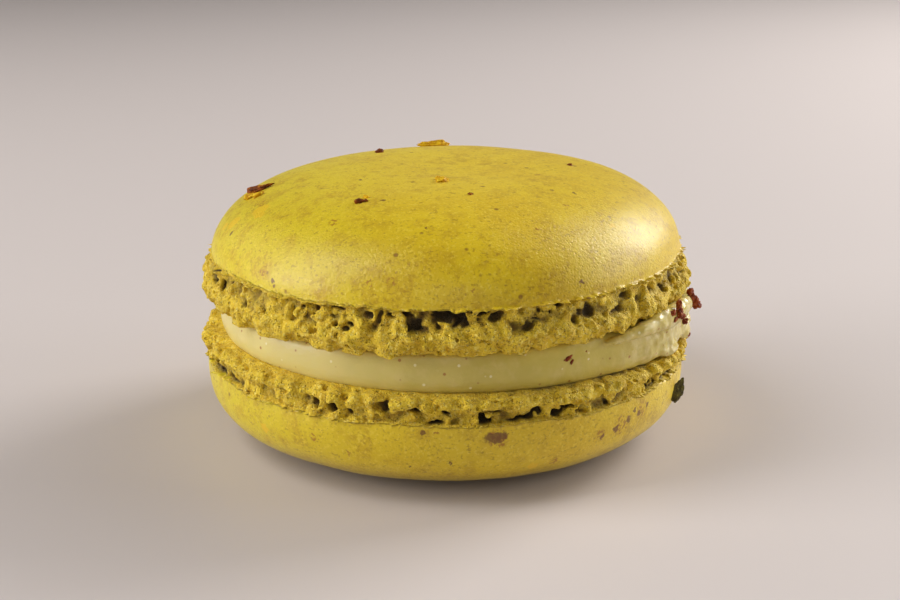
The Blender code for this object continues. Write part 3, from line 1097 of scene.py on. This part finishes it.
# Grains on the upper dome: angle, radius, half length, half width, half
# thickness, and turn.
BROWN_FLAKES = (
    (-177, 17.35, 1.30, 0.34, 0.30, 78), (-124, 13.4, 0.42, 0.30, 0.22, 10),
    (128, 10.9, 0.46, 0.32, 0.24, 0), (-78, 10.6, 0.30, 0.20, 0.12, 40), (10, 12.0, 0.30, 0.22, 0.14, 0),
    (-122, 13.1, 0.20, 0.16, 0.14, 0),
)
YELLOW_CRUMBS = (
    (96, 13.9, 1.35, 0.45, 0.36, 0), (91, 14.1, 0.70, 0.42, 0.32, 25), (-92, 5.8, 0.75, 0.44, 0.26, 15),
    (-97, 5.2, 0.34, 0.28, 0.20, 0), (-124.5, 12.3, 0.26, 0.20, 0.16, 0),
    (-174, 18.4, 0.60, 0.34, 0.26, 70), (-171, 17.6, 0.55, 0.26, 0.20, 80),
)
# Grains at the side, on the feet and the filling: angle, radius, height, half
# length, half width, half thickness, the way that the flat side faces, and turn.
RED_CRUMBS = (
    (-11, 23.3, 14.1, 0.36, 0.30, 0.30, -40, 30), (-11, 23.4, 13.5, 0.42, 0.34, 0.34, -40, 80),
    (-9, 23.7, 13.0, 0.46, 0.38, 0.36, -30, 60), (-8, 23.95, 12.5, 0.42, 0.36, 0.34, -30, 10),
    (-28, 23.6, 14.8, 0.40, 0.28, 0.28, -50, 60), (-31, 23.5, 14.4, 0.36, 0.26, 0.22, -50, 0),
    (-28, 23.7, 14.1, 0.40, 0.30, 0.26, -50, 90), (-26, 23.7, 13.6, 0.28, 0.24, 0.22, -50, 10),
    (-24, 23.7, 12.9, 0.32, 0.26, 0.22, -50, 50), (-30, 23.6, 13.7, 0.24, 0.20, 0.16, -50, 10),
    (-3, 23.4, 8.9, 0.34, 0.22, 0.20, -40, 70), (-61, 21.5, 12.5, 0.50, 0.20, 0.16, -61, 20),
    (-60, 21.5, 12.15, 0.26, 0.18, 0.14, -61, 60), (-56, 21.5, 12.8, 0.12, 0.10, 0.08, -56, 0),
    (-35, 22.1, 12.0, 0.17, 0.14, 0.10, -45, 0), (-47, 21.7, 12.9, 0.10, 0.09, 0.07, -47, 0),
)
LEAF_FLAKES = (
    (-21.0, 23.05, 5.8, 1.05, 0.60, 0.16, -68, 58), (-20.5, 22.8, 5.2, 0.50, 0.36, 0.16, -60, 95),
)


# Pieces made of grains: name, rows, three colours, and how much each narrows to one end.
DOME_GRAINS = (
    ("brown_flakes", BROWN_FLAKES, ((98, 44, 4), (146, 74, 8), (212, 138, 28)), 0.45),
    ("yellow_crumbs", YELLOW_CRUMBS, ((196, 140, 4), (232, 186, 6), (248, 220, 60)), 0.10),
)
SIDE_GRAINS = (
    ("red_crumbs", RED_CRUMBS, ((112, 38, 8), (156, 70, 22), (200, 124, 66)), 0.0),
    ("leaf_flake", LEAF_FLAKES, ((62, 52, 4), (88, 78, 8), (122, 110, 22)), 0.55),
)


def on_dome(degrees, radius, length, width, thick, turn):
    """Centre, flat side's normal, half sizes and turn of a grain that lies on the upper dome."""
    point, normal = skin_point(UPPER, degrees, radius)
    return point + normal * thick * 0.4, normal, (length, width, thick), math.radians(turn)


def at_side(degrees, radius, height, length, width, thick, face, turn):
    """The same of a grain that clings to the side."""
    angle, face = math.radians(degrees), math.radians(face)
    normal = Vector((math.cos(face), math.sin(face), 0.15)).normalized()
    centre = Vector((radius * math.cos(angle), radius * math.sin(angle), height))
    return centre, normal, (length, width, thick), math.radians(turn)


def add_grains():
    """The loose nut flakes and crumbs that cling to the macaron."""
    ball, triangles = unit_ball()
    for place, kinds, patch, seed in ((on_dome, DOME_GRAINS, 0.5, 3), (at_side, SIDE_GRAINS, 0.4, 61)):
        for name, rows, colours, taper in kinds:
            grains = [grain(ball, *place(*row), taper, seed + 5 * k) for k, row in enumerate(rows)]
            joined_grains(name, grains, triangles, grain_material(name, *colours, patch))


# ---- assembly

CRUMB_EASE = 0.14        # over which the skin's look gives way to the foot's
# The painted shade in the foot's hollows is darkest at DEEP_HOLLOW.
DEEP_HOLLOW = 1.4        # depth at which a hollow is darkest
TORN_RADIUS = 21.7       # the filling's torn look starts here
TORN_EASE = 0.8          # and is full this much further out


def paint_shell(shell, piece):
    """The numbers that the shell's material reads: how far a vertex is foot, and how deep in a hollow."""
    points = mesh_points(piece)
    height = (points[:, 2] - shell["seat"]) * shell["up"]
    angle = np.arctan2(points[:, 1], points[:, 0]) % TAU
    radius = np.hypot(points[:, 0], points[:, 1])
    lip = lip_height(shell, angle)
    down = np.clip((lip - height) / lip, 0.0, 1.0)
    set_attribute(piece, "crumb", smooth_step((lip - height + 0.02) / CRUMB_EASE))
    # How deep a point lies in a hollow, which the material paints as shade.
    depth = foot_radius(shell, angle, down) + 0.25 - radius
    set_attribute(piece, "hollow", np.clip(depth / DEEP_HOLLOW, 0.0, 1.0) * (down > 0.0))


def finish_piece(piece, node, material):
    """Give a piece its material and its place in the model."""
    piece.data.materials.append(material)
    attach(piece, "root")
    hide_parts(node)


def main():
    """Build the stage, the two shells, the filling and the loose grains."""
    np.seterr(over="ignore")     # the noise's whole numbers wrap on purpose
    make_stage()
    add_lights()
    add_camera()
    baked = shell_material()
    for shell in (UPPER, LOWER):
        piece = build_shell(shell)
        paint_shell(shell, piece)
        finish_piece(piece, shell["node"], baked)
    filling = build_filling()
    points = mesh_points(filling)
    radius = np.hypot(points[:, 0], points[:, 1])
    set_attribute(filling, "torn", smooth_step((radius - TORN_RADIUS) / TORN_EASE))
    finish_piece(filling, "filling", ganache_material())
    add_grains()


main()
